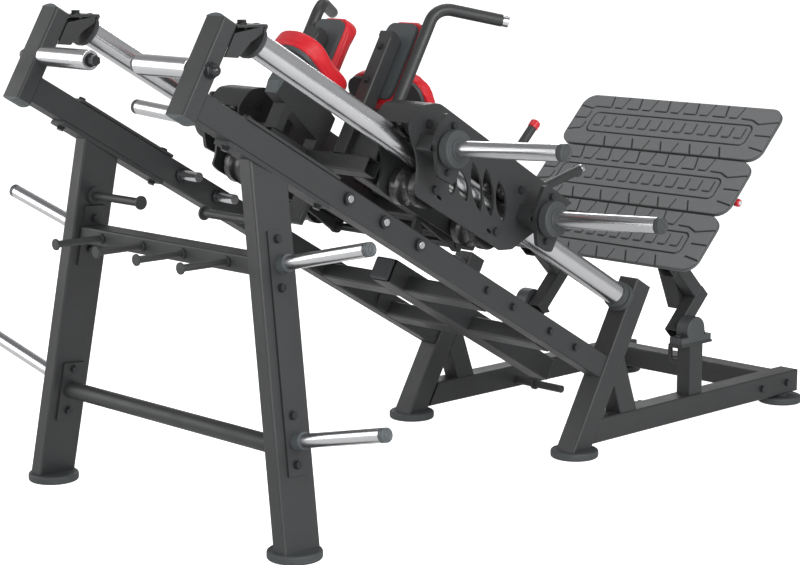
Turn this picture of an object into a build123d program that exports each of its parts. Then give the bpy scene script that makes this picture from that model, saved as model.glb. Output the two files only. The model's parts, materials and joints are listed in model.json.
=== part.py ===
"""Plate-loaded hack squat and leg press machine: floor frame, sled on two inclined rods, tilting foot plate.

Lengths are in millimetres.  World axes: +X runs from the high end to the foot plate, +Y to the user's left,
+Z up from the floor.  The rails have their own axes (s, y, n): s runs down the slope from the head blocks
and n stands square to the rails.  Parts are made for the left side and mirrored for the right.
"""
import os
from math import cos, hypot, radians, sin

from build123d import *

# ---------------------------------------------------------------- driving dimensions
SLOPE = 30.0
RAIL_START = (-182.3, 1175.1)  # world x and z of s = 0, n = 0
REAR_END = -190.9  # lowest corner of the head block caps
WALL = 3.0

RAIL_Y = 365.0
RAIL_WIDE = 60.0
RAIL_N = (12.0, 87.0)
RAIL_END = 1883.0

BLOCK_DEPTH = 50.0
BLOCK_WIDE = 75.0
BLOCK_TOP = 280.0

ROD_R = 36.0
ROD_N = 280.0
ROD_S = (150.0, 1843.0)

POST_S = (RAIL_END, RAIL_END + 75.0)
POST_Y = 363.0
POST_TOP = 350.0

BASE_Y = 360.0
BASE_WIDE = 75.0
BASE_Z = (36.0, 113.0)
BASE_END = 2504.0

FOOT_R = 75.0
FOOT_HIGH = 25.0
FEET = ((52.0, 547.0), (1376.0, POST_Y), (2458.0, BASE_Y))

UPRIGHT_BASE = (52.0, 558.0)
UPRIGHT_LEAN = (0.0577, -0.1886, 1.0)
UPRIGHT_SIZE = (125.0, 50.0)

STOP_PINS = (627.0, 783.0, 941.0)
STOP_PIN_N = 55.0

CROSS_MEMBERS = ((1266.0, 1395.0), (1588.0, 1721.0))  # bolt places at the ends of each
SPINE_S = (1225.0, 2055.0)

PLATE_IN = (291.0, 299.0)
PLATE_OUT = (435.0, 443.0)
UPPER_ROLLERS = (759.0, 1199.0)
UPPER_ROLLER_N = 350.0
LOWER_ROLLERS = (875.0, 1162.0)
LOWER_ROLLER_N = 200.0
ROLLER_GAP = 0.3
AXLE_R = 8.0
AXLE_FIT = 0.05

HORN_S = (805.0, 1278.0)
HORN_N = 300.0
HORN_TILT = 3.5
HORN_EAR = (-21.8, 62.3)  # from the horn to a bolt of its flange
HORN_R = 24.0
HORN_LONG = 360.0
STORE_R = 19.5
STORE_TILT = 13.0

DECK_N = (176.0, 226.0)  # the sled's cross tubes and spine
LOCK_AXIS = (1210.0, 158.0)
LOCK_Y = 263.0
LOCK_LEAN = 15.6
LOCK_SHAFT_R = 12.0

PIVOT = (1950.0, 325.0)
PIVOT_R = 15.0
SLAT_START = (1852.0, 541.0)
SLAT_SLOPE = 45.0
SLAT_HALF = 434.0
SLAT_LONG = 224.0
SLAT_GAP = 8.0
SLAT_THICK = 15.0
SLAT_CORNER = 50.0
CARRIER_DEEP = 50.0
ARM_Y = (280.0, 330.0)
ARM_DEEP = 50.0
ARM_REACH = 134.5  # from the pivot to the elbow of the bent arm

# top head corner of a side plate, as (s, n) points of a curve
HEAD_CURVE = ((786.0, 419.0), (735.0, 399.0), (714.0, 381.5), (704.0, 355.0), (697.0, 321.0))
DECK_BARS = (196.0, 246.0)
HANDLE_R = 18.0
HANDLE_Y = 246.0

# ---------------------------------------------------------------- frames of reference
CENTRE_X = (REAR_END + FEET[2][0] + FOOT_R) / 2
STRIP_N = 281.0  # top of the rod bracket where it meets the head block
PILLOW_Z = (285.0, 306.0)
SPACERS = ((1010.0, 385.0), (1312.0, 372.0))
WORLD = Location((0, 0, 0))
COS, SIN = cos(radians(SLOPE)), sin(radians(SLOPE))
RAIL_ORIGIN = (RAIL_START[0], 0, RAIL_START[1])
INCLINE = Plane(origin=RAIL_ORIGIN, x_dir=(COS, 0, -SIN), z_dir=(SIN, 0, COS)).location
LEAN = Plane(origin=(*UPRIGHT_BASE, 0), x_dir=(1, 0, -UPRIGHT_LEAN[0]), z_dir=UPRIGHT_LEAN).location
LEAN_SCALE = hypot(*UPRIGHT_LEAN)
TILT = radians(SLAT_SLOPE)
SLAT_WAY = (cos(TILT), 0, sin(TILT))
SLAT_OUT = (-sin(TILT), 0, cos(TILT))
SLAT = Plane(origin=(SLAT_START[0], 0, SLAT_START[1]), x_dir=SLAT_WAY, z_dir=SLAT_OUT).location
FAR = 4000.0


def on_rail(s, y, n):
    """World point of the rail coordinates s, y, n."""
    return Vector(RAIL_START[0] + s * COS + n * SIN, y, RAIL_START[1] - s * SIN + n * COS)


def rail_way(s, y, n):
    """World direction of a direction given in rail coordinates."""
    return on_rail(s, y, n) - on_rail(0, 0, 0)


def on_slat(u, y, w):
    """World point of the foot plate's coordinates: u up the plate, w out of its face."""
    return (SLAT * Pos(u, y, w)).position


# ---------------------------------------------------------------- building blocks
def block(x, y, z, where=WORLD):
    """Box between pairs of coordinates in a frame of reference."""
    middle = [(low + high) / 2 for low, high in (x, y, z)]
    return where * Pos(*middle) * Box(x[1] - x[0], y[1] - y[0], z[1] - z[0])


def shell_tube(x, y, z, along, where=WORLD, corner=6.0):
    """Hollow rectangular tube between pairs of coordinates, running along 'x', 'y' or 'z'."""
    plane = {"x": Plane.YZ, "y": Plane.XZ, "z": Plane.XY}[along]
    size = {"x": (y, z), "y": (x, z), "z": (x, y)}[along]
    wide, deep = (high - low for low, high in size)
    length = {"x": x, "y": y, "z": z}[along]
    ring = RectangleRounded(wide, deep, corner)
    ring -= RectangleRounded(wide - 2 * WALL, deep - 2 * WALL, corner - WALL)
    middle = [(low + high) / 2 for low, high in (x, y, z)]
    return where * Pos(*middle) * extrude(plane * ring, (length[1] - length[0]) / 2, both=True)


def tube_between(start, end, wide, deep, wide_way, corner=6.0):
    """Hollow rectangular tube from one world point to another."""
    run = Vector(*end) - Vector(*start)
    plane = Plane(origin=start, x_dir=wide_way, z_dir=run)
    ring = RectangleRounded(wide, deep, corner)
    ring -= RectangleRounded(wide - 2 * WALL, deep - 2 * WALL, corner - WALL)
    return extrude(plane * ring, run.length)


def round_bar(start, end, radius, bore=0.0, edge=0.0):
    """Round bar, or tube where it has a bore, from one world point to another."""
    run = Vector(*end) - Vector(*start)
    bar = Cylinder(radius, run.length, align=(Align.CENTER, Align.CENTER, Align.MIN))
    if edge:
        bar = fillet(bar.edges().filter_by(GeomType.CIRCLE), edge)
    if bore:
        bar -= Cylinder(bore, run.length, align=(Align.CENTER, Align.CENTER, Align.MIN))
    return Plane(origin=start, z_dir=run).location * bar


def profile(points, y, where=INCLINE, corner=0.0):
    """Plate whose outline is given in the frame's x and z, standing between two values of y."""
    face = make_face(Polyline(*points, close=True))
    if corner:
        face = fillet(face.vertices(), corner)
    return where * Pos(0, y[1], 0) * extrude(Plane.XZ * face, y[1] - y[0])


def bent_rod(points, radius, bend, bore=0.0):
    """Round rod or tube along straight runs joined by arcs, through world points."""
    path = FilletPolyline(*points, radius=bend)
    ring = Circle(radius) - Circle(bore) if bore else Circle(radius)
    return sweep(Plane(origin=path @ 0, z_dir=path % 0) * ring, path)


def right_of(shape):
    return mirror(shape, about=Plane.XZ)


def pair(*shapes):
    """The given left-hand shapes and their right-hand copies."""
    return [each for shape in shapes for each in (shape, right_of(shape))]


# ---------------------------------------------------------------- fasteners and the holes that they need
HOLES = {"frame": [], "sled": []}
FASTENERS = {"frame": [], "sled": []}


def bolt(body, start, way, size=12.0, grip=11.0):
    """Hexagon bolt with a washer on both sides of the machine; its head points along way from start."""
    place = Plane(origin=start, z_dir=way).location
    low = (Align.CENTER, Align.CENTER, Align.MIN)
    washer = Cylinder(1.05 * size, 2.5, align=low)
    head = Pos(0, 0, 2.5) * extrude(RegularPolygon(0.92 * size, 6), 0.62 * size)
    shank = Pos(0, 0, -grip) * Cylinder(size / 2, grip, align=low)
    hole = Pos(0, 0, -grip) * Cylinder(size / 2 + 0.3, grip, align=low)
    FASTENERS[body] += pair(place * (washer + head + shank))
    HOLES[body] += pair(place * hole)


def overlaps(a, b):
    """Whether two bounding boxes meet."""
    below = all(getattr(a.min, k) < getattr(b.max, k) for k in "XYZ")
    return below and all(getattr(b.min, k) < getattr(a.max, k) for k in "XYZ")


PARTS = {}


def save(node, shapes, drill=None):
    """Add solids to a node, drilled for the fasteners of their body."""
    solids = PARTS.setdefault(node, [])
    for shape in shapes:
        for hole in HOLES[drill] if drill else ():
            if overlaps(shape.bounding_box(), hole.bounding_box()):
                shape = shape - hole
        solids += shape.solids()


def make_fasteners():
    rail_side = rail_way(0, 1, 0)
    for bolts in CROSS_MEMBERS:
        for s in bolts:
            bolt("frame", on_rail(s, RAIL_Y + RAIL_WIDE / 2, 52), rail_side)
    for s in (222.0, 556.0):
        bolt("frame", on_rail(s, RAIL_Y, 95), rail_way(0, 0, 1))
    for s in (194.0, 560.0):
        bolt("frame", on_rail(s, RAIL_Y, 0), rail_way(0, 0, -1))
    for x in (2302.0, 2444.0):
        bolt("frame", (x, BASE_Y + BASE_WIDE / 2, 75), (0, 1, 0))
    side = UPRIGHT_SIZE[1] / 2
    lean_out = (LEAN * Pos(0, 1, 0)).position - LEAN.position
    for z in (828.0, 701.0, 372.0, 244.0):
        bolt("frame", (LEAN * Pos(0, side + 6, z * LEAN_SCALE)).position, lean_out)
    for z in (813.0, 720.0, 356.0, 227.0):
        bolt("frame", (LEAN * Pos(0, -side - 8, z * LEAN_SCALE)).position, -lean_out, grip=13)
    for x in (PIVOT[0] - 62, PIVOT[0] + 62):
        bolt("frame", (x, BASE_Y, PILLOW_Z[1]), (0, 0, 1), 10, 24)
    bolt("frame", on_rail(88, RAIL_Y, STRIP_N + (88 - BLOCK_DEPTH) * SIN / COS), (0, 0, 1), 14, 6)
    out = (0, 1, 0)
    for s, n in SPACERS:
        bolt("sled", on_rail(s, PLATE_OUT[1], n), out, 10)
    for s in HORN_S:
        for sign in (-1, 1):
            bolt("sled", on_rail(s + sign * HORN_EAR[0], 513, HORN_N + sign * HORN_EAR[1]), out, 10, 8)
    for n in (457.0, 564.0):
        bolt("sled", on_rail(736, 157, n), rail_way(-1, 0, 0), 10, 6)


# ---------------------------------------------------------------- floor frame
def make_rails():
    y = (RAIL_Y - RAIL_WIDE / 2, RAIL_Y + RAIL_WIDE / 2)
    rail = shell_tube((BLOCK_DEPTH, RAIL_END), y, RAIL_N, "x", INCLINE)
    pins, nuts = [], []
    for s in STOP_PINS:
        hole = round_bar(on_rail(s, y[0] - 5, STOP_PIN_N), on_rail(s, y[1] + 5, STOP_PIN_N), 10.8)
        rail -= hole
        pin = round_bar(on_rail(s, y[0], STOP_PIN_N), on_rail(s, y[1] + 14, STOP_PIN_N), 10.5, edge=1.0)
        pins.append(pin + round_bar(on_rail(s, LOCK_Y - 14, STOP_PIN_N), on_rail(s, y[0], STOP_PIN_N), 15))
        nuts.append(round_bar(on_rail(s, y[1], STOP_PIN_N), on_rail(s, y[1] + 11, STOP_PIN_N), 18, 10.8))
        nuts.append(round_bar(on_rail(s, y[0] - 9, STOP_PIN_N), on_rail(s, y[0], STOP_PIN_N), 21, 15.3))
    save("inclined_rails", pair(rail), "frame")
    save("stop_pins", pair(*pins))
    save("frame_fasteners", pair(*nuts))
    top = block((203, 575), y, (RAIL_N[1], RAIL_N[1] + 8), INCLINE)
    bottom = block((176, 578), y, (0, RAIL_N[0]), INCLINE)
    save("rear_uprights", pair(top, bottom), "frame")


def make_heads():
    y = (RAIL_Y - BLOCK_WIDE / 2, RAIL_Y + BLOCK_WIDE / 2)
    tube = shell_tube((0, BLOCK_DEPTH), y, (0, BLOCK_TOP), "z", INCLINE)
    save("head_blocks", pair(tube))
    arch = make_face(ThreePointArc((y[0], 0), (RAIL_Y, 10), (y[1], 0)) + Line((y[1], 0), (y[0], 0)))
    cap = extrude(Plane.YZ * arch, BLOCK_DEPTH)
    low = mirror(cap, about=Plane.XY)
    save("plastic_caps", pair(INCLINE * Pos(0, 0, BLOCK_TOP) * cap, INCLINE * low))
    rise = (132 - BLOCK_DEPTH) * SIN / COS
    wide = (RAIL_Y - 40, RAIL_Y + 40)
    strip = [(50, STRIP_N - 7), (50, STRIP_N), (134, STRIP_N + rise), (140, STRIP_N + rise - 4)]
    strip += [(140, ROD_N), (132, ROD_N), (132, STRIP_N + rise - 9)]
    bracket = profile(strip, wide)
    bracket += round_bar(on_rail(132, RAIL_Y, ROD_N), on_rail(140, RAIL_Y, ROD_N), 50)
    gusset = [(50, 189), (50, 258), (126, 318), (132, 300), (108, 262), (89, 207)]
    bracket += profile(gusset, (wide[0], wide[0] + 6)) + profile(gusset, (wide[1] - 6, wide[1]))
    save("rod_top_brackets", pair(bracket), "frame")
    sleeve = round_bar(on_rail(25, 110, 139), on_rail(25, y[0], 139), 28, 19.4, edge=2)
    save("head_sleeves", pair(sleeve))
    plug = round_bar(on_rail(25, 112, 139), on_rail(25, 200, 139), 19)
    nut = Plane(origin=on_rail(25, 84, 139), z_dir=(0, 1, 0)).location * extrude(RegularPolygon(15, 6), 28)
    acorn = Plane(origin=on_rail(25, y[1], 139), z_dir=(0, 1, 0)).location
    flange = Cylinder(22, 4, align=(Align.CENTER, Align.CENTER, Align.MIN))
    acorn *= flange + extrude(RegularPolygon(20, 6), 16)
    dome = INCLINE * Pos(25, y[1] + 17, 139) * Sphere(16)
    save("frame_fasteners", pair(plug + nut, acorn + dome))


def make_rods():
    rod = round_bar(on_rail(ROD_S[0], RAIL_Y, ROD_N), on_rail(ROD_S[1], RAIL_Y, ROD_N), ROD_R, ROD_R - 5)
    save("guide_rods", pair(rod))
    ring = round_bar(on_rail(140, RAIL_Y, ROD_N), on_rail(ROD_S[0], RAIL_Y, ROD_N), ROD_R + 10, edge=2)
    foot, step, end = (on_rail(s, RAIL_Y, ROD_N) for s in (ROD_S[1], ROD_S[1] + 22, RAIL_END))
    cup = round_bar(foot, step, ROD_R + 7, edge=5)
    seat = round_bar(step, end, ROD_R + 11, edge=4)
    save("rubber_buffers", pair(ring, cup + seat))


def make_front():
    half = BASE_WIDE / 2
    y = (POST_Y - 37.5, POST_Y + 37.5)
    below = block((-FAR, FAR), (-FAR, FAR), (-FAR, FOOT_HIGH))
    post = shell_tube(POST_S, y, (-330, POST_TOP), "z", INCLINE) - below
    save("front_posts", pair(post))
    behind = block((-FAR, POST_S[1]), (-FAR, FAR), (-FAR, FAR), INCLINE)
    base_y = (BASE_Y - half, BASE_Y + half)
    base = shell_tube((1300, BASE_END), base_y, BASE_Z, "x") - behind
    save("base_rails", pair(base), "frame")
    brace = tube_between((1643, BASE_Y, 0), (1500, BASE_Y, 396), 66, 76, (0, 1, 0)) - behind
    brace -= block((-FAR, FAR), (-FAR, FAR), (-FAR, BASE_Z[1]))
    save("front_posts", pair(brace))
    bar = shell_tube((2385, 2460), (-base_y[0], base_y[0]), (38, 111), "y")
    save("crossbars", [bar])
    under = PILLOW_Z[0] - 8
    uprise = shell_tube((PIVOT[0] - 33, PIVOT[0] + 33), (BASE_Y - 29, BASE_Y + 29), (BASE_Z[1], under), "z")
    save("base_rails", pair(uprise))
    top = block((PIVOT[0] - 80, PIVOT[0] + 80), (BASE_Y - 28, BASE_Y + 28), (under, PILLOW_Z[0]))
    save("base_rails", pair(top), "frame")
    loop = [(PIVOT[0] - 20, BASE_Y - 29, 266), (PIVOT[0] - 20, BASE_Y - 66, 266)]
    loop += [(x, inward, 216) for x, inward, _ in reversed(loop)]
    save("base_rails", pair(bent_rod(loop, 8, 10)))


def make_pillow_blocks():
    y = (BASE_Y - 25, BASE_Y + 25)
    base = block((PIVOT[0] - 77, PIVOT[0] + 77), y, PILLOW_Z)
    dome = round_bar((PIVOT[0], y[0], PIVOT[1]), (PIVOT[0], y[1], PIVOT[1]), 45, edge=4)
    body = base + (dome - block((-FAR, FAR), (-FAR, FAR), (-FAR, PILLOW_Z[0])))
    body -= round_bar((PIVOT[0], y[0] - 1, PIVOT[1]), (PIVOT[0], y[1] - 14, PIVOT[1]), PIVOT_R + AXLE_FIT)
    save("pillow_blocks", pair(body), "frame")


def make_uprights():
    x, y = ((-size / 2, size / 2) for size in UPRIGHT_SIZE)
    above = block((-FAR, FAR), (-FAR, FAR), (0, FAR), INCLINE)
    below = block((-FAR, FAR), (-FAR, FAR), (-FAR, FOOT_HIGH))
    upright = shell_tube(x, y, (-60, 1300), "z", LEAN) - above - below
    save("rear_uprights", pair(upright), "frame")
    plates = []
    for z in (760.0, 286.0):
        span = ((z - 88) * LEAN_SCALE, (z + 88) * LEAN_SCALE)
        plates.append(block((-35, 35), (y[0] - 8, y[0]), span, LEAN))
    save("bolted_plates", pair(*plates), "frame")
    outside = block((-FAR, FAR), (y[0] - 8, FAR), (-FAR, FAR), LEAN)
    upper = shell_tube((54, 129), (-600, 600), (735, 785), "y") - outside - right_of(outside)
    save("crossbars", [upper])
    lower = round_bar((68, -700, 286), (68, 700, 286), 25, 22) - outside - right_of(outside)
    save("crossbars", [lower])


def make_band_pegs():
    pegs = []
    for y in (280, 90):
        peg = round_bar((54, y, 760), (-99, y, 760), 10)
        pegs.append(peg + round_bar((-99, y, 760), (-106, y, 760), 16.5, edge=2))
        pegs[-1] += round_bar((54, y, 760), (48, y, 760), 15, edge=2)
    save("band_pegs", pair(*pegs))
    face = block((-FAR, FAR), (-UPRIGHT_SIZE[1] / 2, FAR), (-FAR, FAR), LEAN)
    inner = round_bar((92, 420, 873), (92, 145, 873), 12) + round_bar((92, 380, 873), (92, 356, 873), 24)
    inner = (inner - face) + round_bar((92, 145, 873), (92, 138, 873), 20, edge=2)
    save("band_pegs", pair(inner))
    root = BASE_Y - BASE_WIDE / 2
    low = round_bar((1850, root, 62), (1850, 110, 62), 13, edge=2)
    low += round_bar((1850, 240, 62), (1850, 230, 62), 20)
    save("band_pegs", pair(low))


def make_storage_horns():
    side = UPRIGHT_SIZE[1] / 2
    plate = block((-30, 30), (side, side + 6), (215 * LEAN_SCALE, 850 * LEAN_SCALE), LEAN)
    save("bolted_plates", pair(plate), "frame")
    inside = block((-FAR, FAR), (-FAR, side + 6), (-FAR, FAR), LEAN)
    tilt = radians(STORE_TILT)
    way = Vector(0, cos(tilt), sin(tilt))
    bars, collars, caps = [], [], []
    for root in (Vector(105, 439, 766), Vector(78, 525, 307)):
        collars.append(round_bar(root - way * 30, root + way * 36, 24) - inside)
        bars.append(round_bar(root + way * 36, root + way * 341, STORE_R, STORE_R - 4))
        caps.append(round_bar(root + way * 341, root + way * 358, STORE_R, edge=3))
    save("storage_horns", pair(*bars))
    save("plastic_caps", pair(*collars))
    save("plastic_caps", pair(*caps))


def make_middle():
    width = (-40, 40)
    spine = shell_tube(SPINE_S, width, (11, 86), "x", INCLINE)
    save("centre_spine", [spine], "frame")
    bumper = fillet(Box(18, 72, 70).edges(), 7)
    save("rubber_buffers", [INCLINE * Pos(SPINE_S[0] - 9, 0, 48.5) * bumper], "frame")
    rail_in = RAIL_Y - RAIL_WIDE / 2
    tubes, plates = [], []
    for bolts in CROSS_MEMBERS:
        s = sum(bolts) / 2
        tubes.append(shell_tube((s - 37.5, s + 37.5), (40, rail_in - 8), (12, 62), "y", INCLINE))
        plate = RectangleRounded(bolts[1] - bolts[0] + 60, 66, 30)
        plates.append(INCLINE * Pos(s, rail_in, 51) * extrude(Plane.XZ * plate, 8))
    save("cross_members", pair(*tubes))
    save("bolted_plates", pair(*plates), "frame")


def make_feet_and_plugs():
    feet = []
    for x, y in FEET:
        disc = round_bar((x, y, 0), (x, y, FOOT_HIGH), FOOT_R, edge=7)
        feet.append(disc)
    feet[2] += round_bar((FEET[2][0], BASE_Y, FOOT_HIGH - 2), (FEET[2][0], BASE_Y, BASE_Z[0]), 28)
    save("floor_feet", pair(*feet))
    post_x, post_y = (POST_S[0] + 1, POST_S[1] - 1), (POST_Y - 36.5, POST_Y + 36.5)
    post = block(post_x, post_y, (POST_TOP, POST_TOP + 4), INCLINE)
    low, high = BASE_Z
    rail = block((BASE_END, BASE_END + 5), (BASE_Y - 36.5, BASE_Y + 36.5), (low + 1, high - 1))
    tail = block((SPINE_S[1], SPINE_S[1] + 4), (-39, 39), (12, 85), INCLINE)
    plugs = [fillet(plug.edges(), 1.5) for plug in (post, rail, tail)]
    save("plastic_caps", pair(*plugs[:2]) + [plugs[2]])


# ---------------------------------------------------------------- sled
def plate_outline():
    """Outline of a side plate in s and n: straight top and bottom, waved head edge."""
    head = Spline(*HEAD_CURVE, (764, 251), (800, 174), (833, 155), tangents=((-1, 0), (0.9, -0.1)))
    rest = Polyline((833, 155), (1208, 160), (1253, 183), (1424, 411), HEAD_CURVE[0])
    return make_face(head + rest)


def pointed_slot(low, high, width):
    """Pointed oval window between two tips, as two crossing arcs."""
    a, b = Vector(*low), Vector(*high)
    run = (b - a).normalized()
    side = Vector(-run.Y, run.X) * (width / 2)
    middle = (a + b) / 2
    one = ThreePointArc(a, middle + side, b)
    two = ThreePointArc(b, middle - side, a)
    return make_face(one + two)


WINDOWS = (
    ((941, 216), (926, 262), 27),
    ((1008, 226), (932, 292), 40),
    ((1075, 223), (973, 335), 42),
    ((1123, 230), (1030, 343), 44),
    ((1178, 238), (1099, 334), 44),
)
ADJUST_SLOTS = ((901.0, 189.0), (1136.0, 190.0))


def make_side_plates():
    face = plate_outline()
    for low, high, width in WINDOWS:
        face -= pointed_slot(low, high, width)
    for s in UPPER_ROLLERS:
        face -= Pos(s, UPPER_ROLLER_N) * Circle(AXLE_R + 0.3)
    for s in LOWER_ROLLERS:
        face -= Pos(s, LOWER_ROLLER_N) * Circle(AXLE_R + 0.3)
    outer_face = face
    for s, n in ADJUST_SLOTS:
        outer_face -= Pos(s, n) * Rot(0, 0, -12) * SlotOverall(22, 9)
    outer = INCLINE * Pos(0, PLATE_OUT[1], 0) * extrude(Plane.XZ * outer_face, PLATE_OUT[1] - PLATE_OUT[0])
    inner = INCLINE * Pos(0, PLATE_IN[1], 0) * extrude(Plane.XZ * face, PLATE_IN[1] - PLATE_IN[0])
    save("side_plates_outer", pair(outer), "sled")
    save("side_plates_inner", pair(inner), "sled")
    outside = Spline(*HEAD_CURVE, tangents=((-1, 0), (-0.1, -1)))
    within = ((786, 414.5), (738, 395), (717.6, 379), (708.3, 353.5), (701.5, 321))
    inside = Spline(*within, tangents=((-1, 0), (-0.1, -1)))
    ends = [Line(outside @ 1, inside @ 1), Line(inside @ 0, outside @ 0)]
    edges = [edge for line in (outside, inside, *ends) for edge in line.edges()]
    band = Plane.XZ * make_face(Wire(edges))
    cover = INCLINE * Pos(0, PLATE_OUT[0], 0) * extrude(band, PLATE_OUT[0] - PLATE_IN[1])
    save("head_covers", pair(cover))
    spacers = []
    for s, n in SPACERS:
        tube = (on_rail(s, PLATE_IN[1], n), on_rail(s, PLATE_OUT[0], n))
        spacers.append(round_bar(*tube, 12, 7))
    save("roller_axles", pair(*spacers))


def roller_shape(axis_n):
    """Hourglass wheel whose waist is cut to the rod, and the radius of the waist."""
    away = abs(axis_n - ROD_N)
    reach = ROD_R + ROLLER_GAP
    rim = min(away - reach + 13, 58.0)
    edge_y = (reach**2 - (away - rim) ** 2) ** 0.5
    bore = AXLE_R + AXLE_FIT
    outline = Polyline((rim, -edge_y), (rim, -50), (bore, -50), (bore, 50), (rim, 50), (rim, edge_y))
    waist = ThreePointArc((rim, edge_y), (away - reach, 0), (rim, -edge_y))
    wheel = revolve(make_face(outline + waist), Axis.Y)
    return wheel, away - reach


def make_rollers():
    """Eight rollers, each its own node; the waist radii set how far each turns."""
    axles = []
    stations = [("upper", s, UPPER_ROLLER_N) for s in UPPER_ROLLERS]
    stations += [("lower", s, LOWER_ROLLER_N) for s in LOWER_ROLLERS]
    for level, s, n in stations:
        wheel, waist = roller_shape(n)
        end = "head" if s < 1000 else "foot"
        shape = INCLINE * Pos(s, RAIL_Y, n) * wheel
        save(f"roller_{level}_{end}_left", [shape])
        save(f"roller_{level}_{end}_right", [right_of(shape)])
        print(level, end, "waist radius", round(waist, 2))
        axle = round_bar(on_rail(s, PLATE_IN[0] - 12, n), on_rail(s, PLATE_OUT[1] + 4, n), AXLE_R)
        hexagon = extrude(RegularPolygon(12.5, 6), 8)
        axle += Plane(origin=on_rail(s, PLATE_OUT[1], n), z_dir=(0, 1, 0)).location * hexagon
        axle += Plane(origin=on_rail(s, PLATE_IN[0], n), z_dir=(0, -1, 0)).location * hexagon
        axles.append(axle)
    save("roller_axles", pair(*axles))


def make_weight_horns():
    tilt = radians(HORN_TILT)
    way = rail_way(0, cos(tilt), sin(tilt))
    brackets, flanges, discs, bars, caps = [], [], [], [], []
    for s in HORN_S:
        span_n = (HORN_N - 34, HORN_N + 14)
        brackets.append(shell_tube((s - 60, s + 60), (PLATE_OUT[1], 499), span_n, "y", INCLINE))
        corners = [(-64, 82), (2, 86), (64, 8), (64, -82), (-2, -86), (-64, -8)]
        flanges.append(profile([(s + across, HORN_N + up) for across, up in corners], (499, 513), corner=14))
        root = on_rail(s, 513, HORN_N)
        disc = round_bar(root + way * 3.5, root + way * 35, 53, edge=4)
        discs.append(disc + round_bar(root + way * 34, root + way * 38, 31, edge=1.2))
        tip = root + way * (38 + HORN_LONG)
        bars.append(round_bar(root + way * 38, tip, HORN_R, HORN_R - 4))
        caps.append(round_bar(tip, tip + way * 19, HORN_R, edge=4))
    save("horn_brackets", pair(*brackets), "sled")
    save("horn_brackets", pair(*flanges), "sled")
    save("horn_rubbers", pair(*discs))
    save("weight_horns", pair(*bars))
    save("horn_rubbers", pair(*caps))


def make_deck():
    """Structure between the two housings: spine, cross tubes, long bars and the stop tongue."""
    beam = shell_tube((590, 1380), (-25, 25), DECK_N, "x", INCLINE)
    save("sled_spine", [beam])
    tubes = []
    for s, reach in ((736.0, PLATE_IN[0]), (1060.0, PLATE_IN[0]), (1185.0, DECK_BARS[0])):
        tubes.append(shell_tube((s, s + 50), (25, reach), DECK_N, "y", INCLINE))
    save("sled_cross_members", pair(*tubes))
    bars = [shell_tube(ends, DECK_BARS, DECK_N, "x", INCLINE) for ends in ((786, 1060), (1110, 1306))]
    save("sled_cross_members", pair(*bars))
    tongue = block((805, 825), (-35, 35), (20, DECK_N[0]), INCLINE)
    save("sled_spine", [fillet(tongue.edges(), 4)])
    low, high = DECK_N[0] - 36, DECK_N[0]
    bearing = block((LOCK_AXIS[0] - 25, LOCK_AXIS[0] + 25), (60, 84), (low, high), INCLINE)
    start, end = on_rail(LOCK_AXIS[0], 50, LOCK_AXIS[1]), on_rail(LOCK_AXIS[0], 90, LOCK_AXIS[1])
    save("sled_spine", pair(bearing - round_bar(start, end, LOCK_SHAFT_R + AXLE_FIT)))


def make_shoulders():
    tube = shell_tube((736, 786), (132, 182), (DECK_N[1], 598), "z", INCLINE)
    save("shoulder_posts", pair(tube), "sled")
    wing = profile([(758, 226), (758, 300), (764, 300), (764, 226)], (182, PLATE_IN[0]))
    save("shoulder_posts", pair(wing))
    top = [(736, 598), (736, 615), (748, 617), (763, 614), (776, 607), (786, 598)]
    save("shoulder_posts", pair(profile(top, (132, 182))))
    for part, s, wide, low, high, corner in (
        ("board", (786, 801), 120, 426, 666, 25),
        ("pad", (801, 856), 134, 411, 681, 30),
    ):
        middle = INCLINE * Pos(s[0], 157, (low + high) / 2)
        shape = middle * extrude(Plane.YZ * RectangleRounded(wide, high - low, corner), s[1] - s[0])
        if part == "pad":
            shape = fillet(shape.edges().group_by(Axis.X)[-1], 4)
            save("shoulder_pad_left", [shape])
            save("shoulder_pad_right", [right_of(shape)])
        else:
            save("pad_boards", pair(shape))


def cushion(frame, long, half, thick, corner):
    """Pad with rounded corners: its frame's x runs along it, y across, z through it."""
    return frame * Pos(long / 2, 0, 0) * extrude(RectangleRounded(long, 2 * half, corner), thick)


def make_headrest():
    top = INCLINE * Pos(552, 0, 491.5) * Rot(0, 18, 0) * Pos(-20, 0, 0)
    pad = cushion(top * Pos(0, 0, -44), 245, 92, 62, 70)
    board = cushion(top * Pos(8, 0, -56), 229, 84, 12, 62)
    save("headrest_pad", [pad])
    save("pad_boards", [board])
    outline = [(555, 314), (795, 256), (795, 350.6), (578, 421.1)]
    hollow = [(500, 330.5), (900, 233.9), (900, 313.2), (500, 443.2)]
    support = profile(outline, (-25, 25)) - profile(hollow, (-22, 22))
    legs = [profile([(598, 226), (628, 226), (628, 296.2), (598, 303.5)], (-25, 25))]
    legs.append(profile([(760, 226), (795, 226), (795, 255.9), (760, 264.3)], (-25, 25)))
    save("headrest_support", [support])
    save("headrest_support", legs)
    cap = profile([(552, 314.7), (555, 314), (578, 421.1), (574, 421.4), (556, 400), (546, 350)], (-24, 24))
    save("sled_caps", [cap])


BACK_TOP = (932.0, 573.0)
BACK_ANGLE = 36.6


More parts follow.
